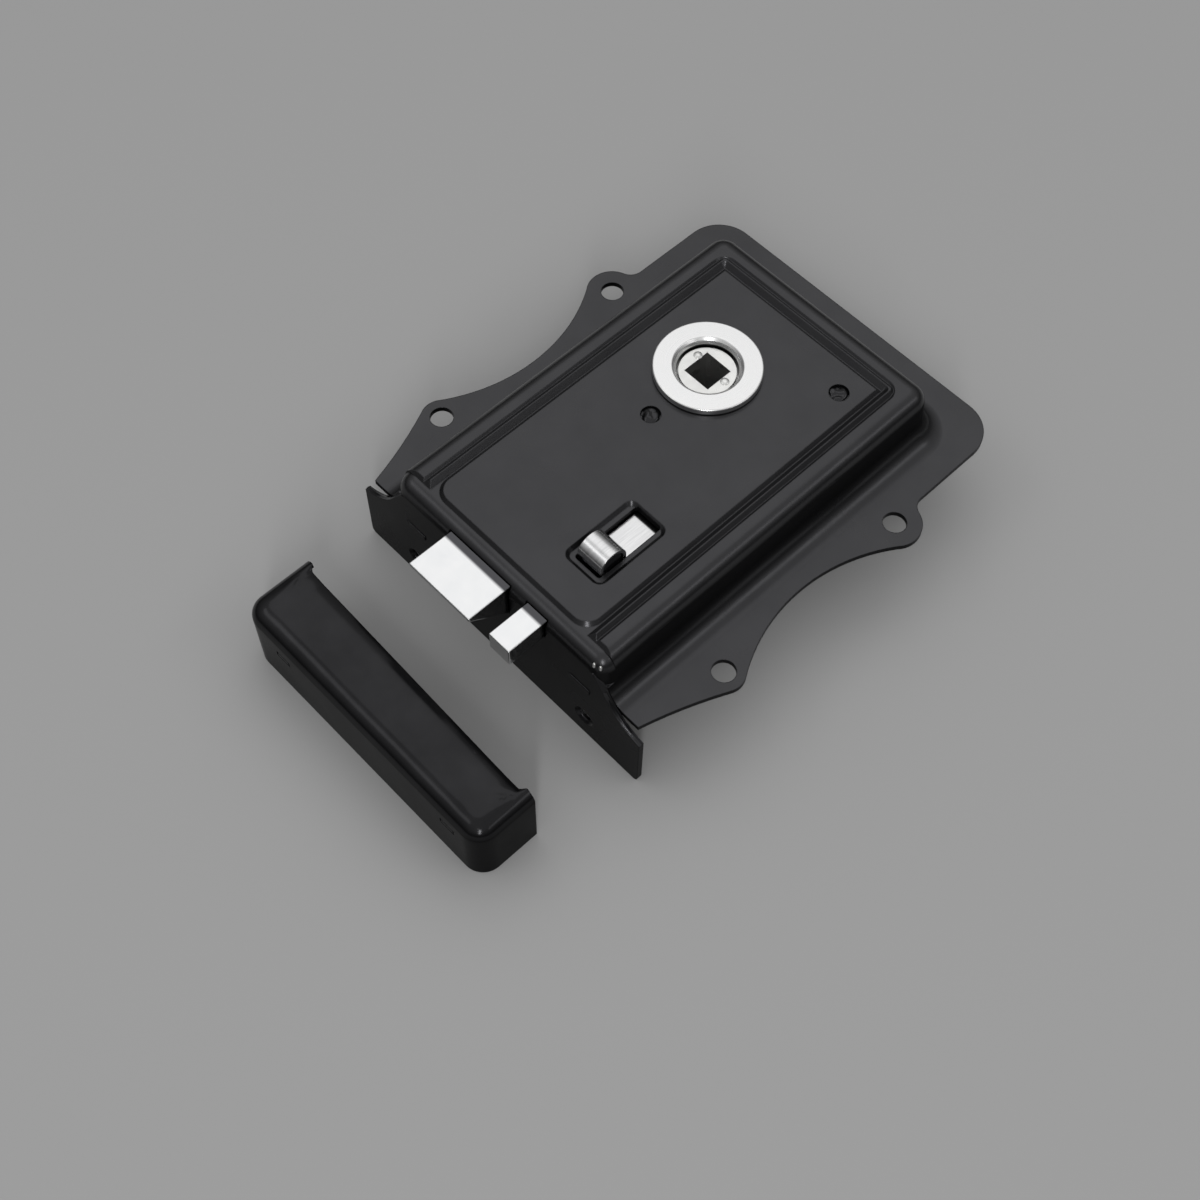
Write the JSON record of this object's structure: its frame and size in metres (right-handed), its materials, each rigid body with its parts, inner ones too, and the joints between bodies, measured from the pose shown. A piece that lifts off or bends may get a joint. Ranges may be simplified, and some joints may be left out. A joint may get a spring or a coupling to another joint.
{
  "type": "rim lock",
  "caption": "Surface-mounted rim lock with a sprung latch worked by a spindle follower, a sliding privacy bolt with a curled thumb piece, and a separate box keep.",
  "frame": {"origin": "centre of the four flange fixing holes, on the flat back that lies on the door", "axes": "+Z out of the door's face, +X towards the fore-end and the keep, +Y towards the privacy bolt"},
  "size_m": [0.1709, 0.1138, 0.043],
  "materials": {
    "case_enamel": "satin",
    "keep_enamel": "semi-gloss",
    "pillar_black": "gloss",
    "bright_zinc": "bright plated",
    "brushed_chrome": "brushed",
    "polished_chrome": "polished",
    "plated_steel": "zinc plated",
    "spring_steel": "oiled spring steel"
  },
  "bodies": {
    "case": {"case_body": "case_enamel", "back_cap": "case_enamel", "rose": "polished_chrome", "case_pillars": "pillar_black", "cap_screws": "plated_steel", "bolt_bridge": "plated_steel", "bridge_rivets": "plated_steel", "leaf_spring": "spring_steel", "leaf_posts": "plated_steel", "spring_rod": "plated_steel", "latch_spring": "spring_steel"},
    "spindle_hub": {"follower": "plated_steel"},
    "latch": {"latch_head": "bright_zinc", "latch_tail": "plated_steel", "latch_rivets": "plated_steel"},
    "privacy": {"privacy_bolt": "bright_zinc", "snib_slide": "brushed_chrome", "snib_rivets": "plated_steel"},
    "keep": {"keep_box": "keep_enamel", "keep_bracket": "keep_enamel"}
  },
  "joints": [
    {"name": "follower_turn", "type": "hinge", "parent": "case", "child": "spindle_hub", "pos_m": [-0.0206, -0.0066, 0.01], "axis": [0, 0, 1], "range_deg": [0, 50]},
    {"name": "latch_slide", "type": "slide", "parent": "case", "child": "latch", "axis": [-1, 0, 0], "range_m": [0, 0.0115], "stiffness_N_per_m": 500, "springref_m": -0.008, "deforming": ["latch_spring"]},
    {"name": "snib_slide", "type": "slide", "parent": "case", "child": "privacy", "axis": [-1, 0, 0], "range_m": [0, 0.0108]},
    {"name": "keep_level", "type": "slide", "parent": "case", "child": "keep", "axis": [0, 0, 1], "range_m": [0, 0.022]}
  ],
  "couplings": [
    {"joint": "follower_turn", "follows": "latch_slide", "rad_per_m": 75.88}
  ]
}
